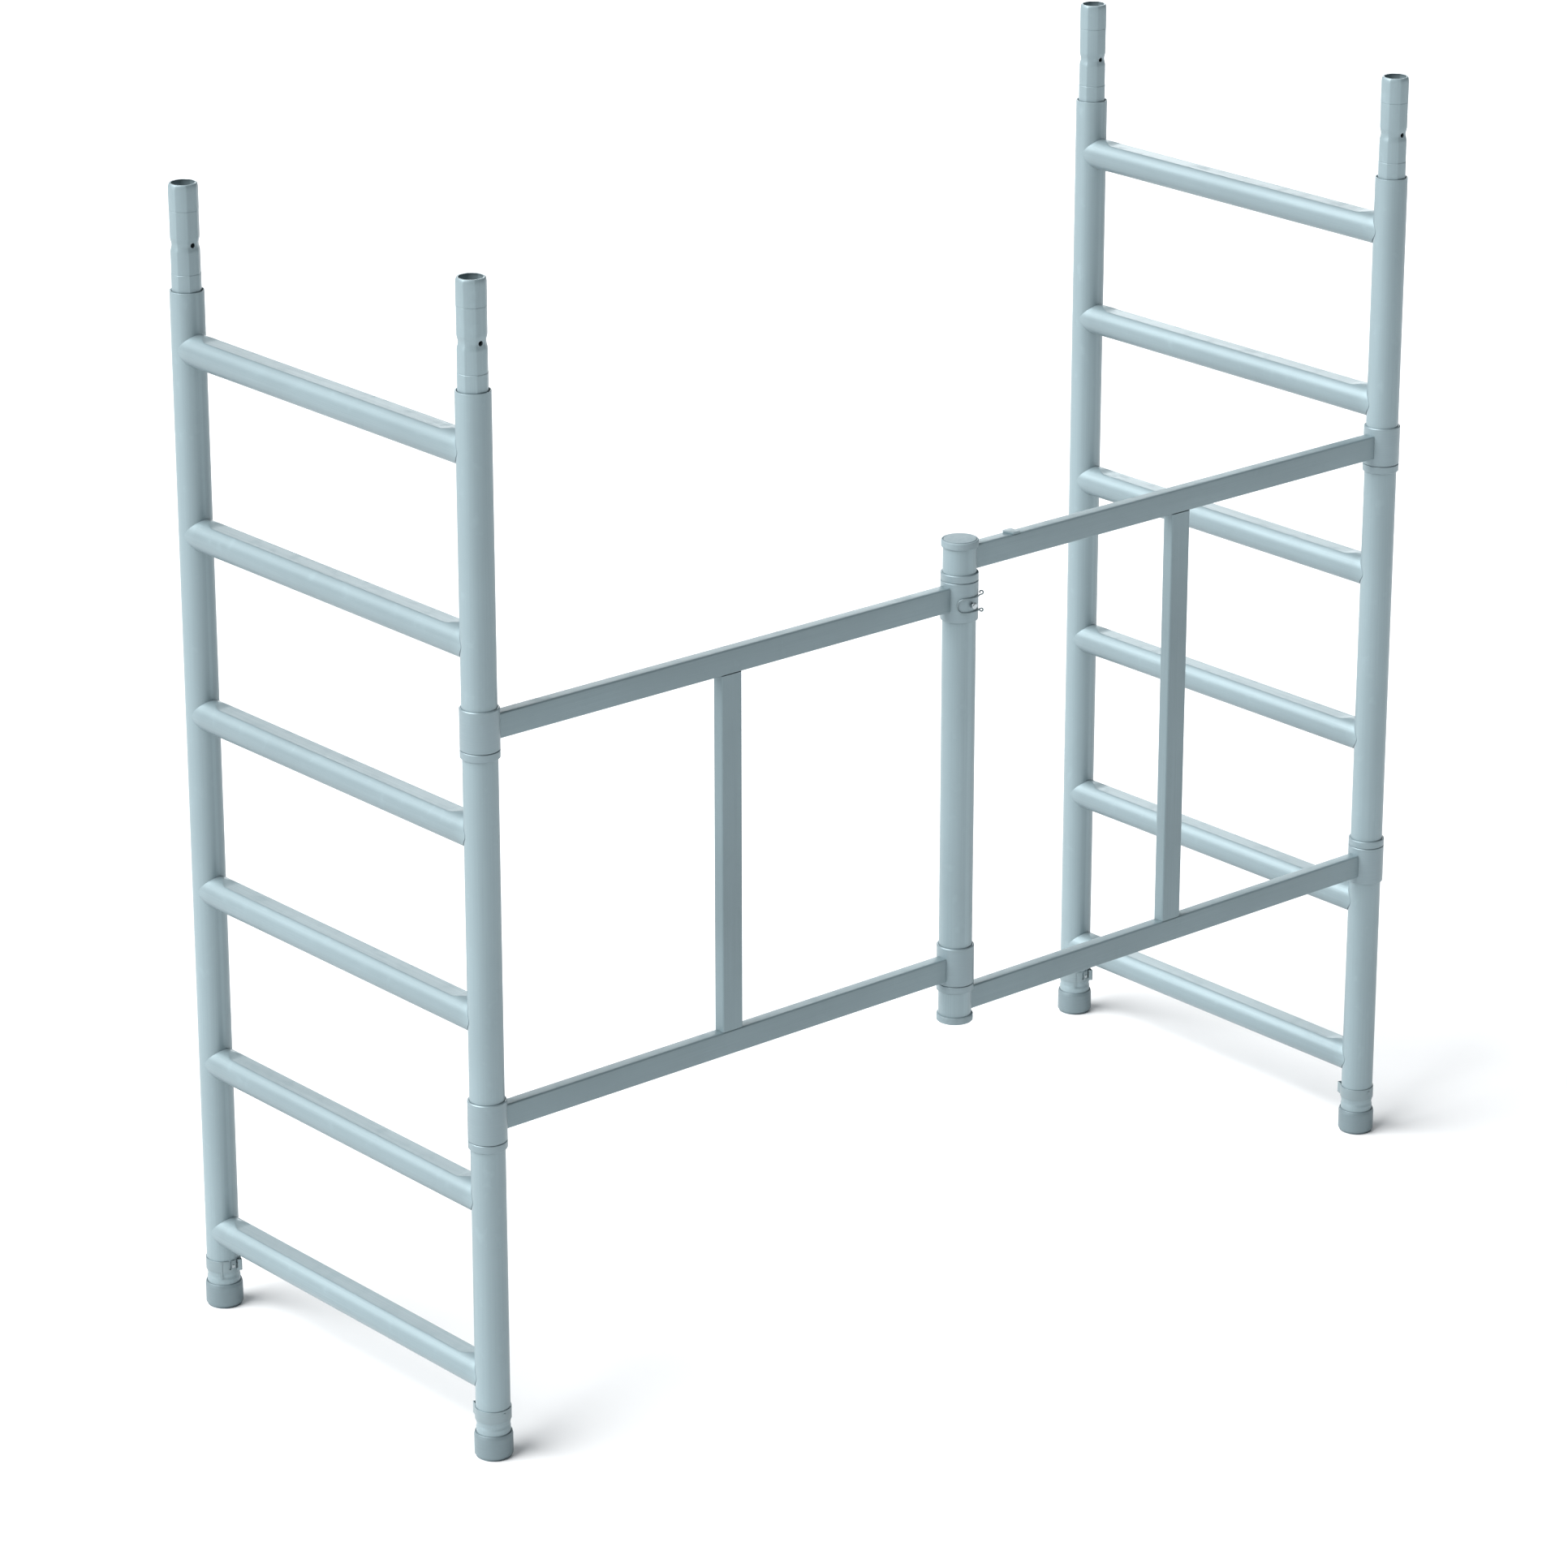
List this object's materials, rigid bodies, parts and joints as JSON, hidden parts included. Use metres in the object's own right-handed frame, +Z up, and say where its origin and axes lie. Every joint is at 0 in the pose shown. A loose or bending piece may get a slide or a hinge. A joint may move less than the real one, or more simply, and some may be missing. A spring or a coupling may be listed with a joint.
{
  "type": "folding scaffold base frame",
  "caption": "Folding scaffold tower base section: two ladder frames with spigots and spring clips, joined on one side by a centre-hinged gate.",
  "frame": {"origin": "middle of the footprint, on the ground", "axes": "+X along the gate from the left ladder to the right one, +Y from the gate side to the open side, +Z up along the uprights"},
  "size_m": [1.8572, 0.7397, 1.771],
  "materials": {
    "tube_alloy": "extruded aluminium, pale blue-grey, satin",
    "tread_alloy": "extruded aluminium rung, satin with a flat tread",
    "cast_alloy": "turned and pressed aluminium collars, rings and feet, satin",
    "rail_alloy": "rectangular aluminium tube, satin",
    "spring_steel": "zinc plated spring steel",
    "pin_steel": "zinc plated turned steel"
  },
  "bodies": {
    "left_ladder": {"left_upright_front": "tube_alloy", "left_upright_rear": "tube_alloy", "left_rung_1": "tread_alloy", "left_rung_2": "tread_alloy", "left_rung_3": "tread_alloy", "left_rung_4": "tread_alloy", "left_rung_5": "tread_alloy", "left_rung_6": "tread_alloy", "left_spigot_front": "tube_alloy", "left_spigot_rear": "tube_alloy", "left_foot_front": "cast_alloy", "left_foot_rear": "cast_alloy", "left_clip_band_front": "spring_steel", "left_clip_band_rear": "spring_steel", "left_ring_lower": "cast_alloy", "left_ring_upper": "cast_alloy"},
    "left_gate": {"left_collar_lower": "cast_alloy", "left_collar_upper": "cast_alloy", "post_collar_lower": "cast_alloy", "post_collar_upper": "cast_alloy", "left_rail_lower": "rail_alloy", "left_rail_upper": "rail_alloy", "left_stile": "rail_alloy"},
    "right_gate": {"centre_post": "tube_alloy", "post_cap_lower": "cast_alloy", "post_cap_upper": "cast_alloy", "post_ring_lower": "cast_alloy", "post_ring_upper": "cast_alloy", "right_rail_lower": "rail_alloy", "right_rail_upper": "rail_alloy", "right_stile": "rail_alloy", "right_collar_lower": "cast_alloy", "right_collar_upper": "cast_alloy", "rail_catch": "rail_alloy"},
    "right_ladder": {"right_upright_front": "tube_alloy", "right_upright_rear": "tube_alloy", "right_rung_1": "tread_alloy", "right_rung_2": "tread_alloy", "right_rung_3": "tread_alloy", "right_rung_4": "tread_alloy", "right_rung_5": "tread_alloy", "right_rung_6": "tread_alloy", "right_spigot_front": "tube_alloy", "right_spigot_rear": "tube_alloy", "right_foot_front": "cast_alloy", "right_foot_rear": "cast_alloy", "right_clip_band_front": "spring_steel", "right_clip_band_rear": "spring_steel", "right_ring_lower": "cast_alloy", "right_ring_upper": "cast_alloy"},
    "left_clip_front": {"left_clip_lever_front": "spring_steel", "left_lock_pin_front": "pin_steel"},
    "left_clip_rear": {"left_clip_lever_rear": "spring_steel", "left_lock_pin_rear": "pin_steel"},
    "right_clip_front": {"right_clip_lever_front": "spring_steel", "right_lock_pin_front": "pin_steel"},
    "right_clip_rear": {"right_clip_lever_rear": "spring_steel", "right_lock_pin_rear": "pin_steel"},
    "fold_pin": {"fold_lock_pin": "pin_steel"},
    "fold_wire": {"fold_lock_wire": "spring_steel"}
  },
  "joints": [
    {"name": "left_hinge", "type": "hinge", "parent": "left_ladder", "child": "left_gate", "pos_m": [-0.9, -0.33375, 0.826], "axis": [0, 0, 1], "range_deg": [0, 85]},
    {"name": "middle_hinge", "type": "hinge", "parent": "left_gate", "child": "right_gate", "pos_m": [0, -0.33375, 0.826], "axis": [0, 0, -1], "range_deg": [0, 170]},
    {"name": "right_hinge", "type": "hinge", "parent": "right_gate", "child": "right_ladder", "pos_m": [0.9, -0.33375, 0.826], "axis": [0, 0, 1], "range_deg": [0, 85]},
    {"name": "left_clip_front_pull", "type": "slide", "parent": "left_ladder", "child": "left_clip_front", "axis": [0, 1, 0], "range_m": [0, 0.008], "stiffness_N_per_m": 1500},
    {"name": "left_clip_rear_pull", "type": "slide", "parent": "left_ladder", "child": "left_clip_rear", "axis": [0, -1, 0], "range_m": [0, 0.008], "stiffness_N_per_m": 1500},
    {"name": "right_clip_front_pull", "type": "slide", "parent": "right_ladder", "child": "right_clip_front", "axis": [0, 1, 0], "range_m": [0, 0.008], "stiffness_N_per_m": 1500},
    {"name": "right_clip_rear_pull", "type": "slide", "parent": "right_ladder", "child": "right_clip_rear", "axis": [0, -1, 0], "range_m": [0, 0.008], "stiffness_N_per_m": 1500},
    {"name": "fold_pin_slide", "type": "slide", "parent": "left_gate", "child": "fold_pin", "axis": [0, -1, 0], "range_m": [-0.004, 0.0025]},
    {"name": "fold_wire_swing", "type": "hinge", "parent": "left_gate", "child": "fold_wire", "pos_m": [0.02367, -0.3566, 1.11435], "axis": [0, 0, 1], "range_deg": [0, 25], "stiffness_Nm_per_rad": 0.4}
  ]
}
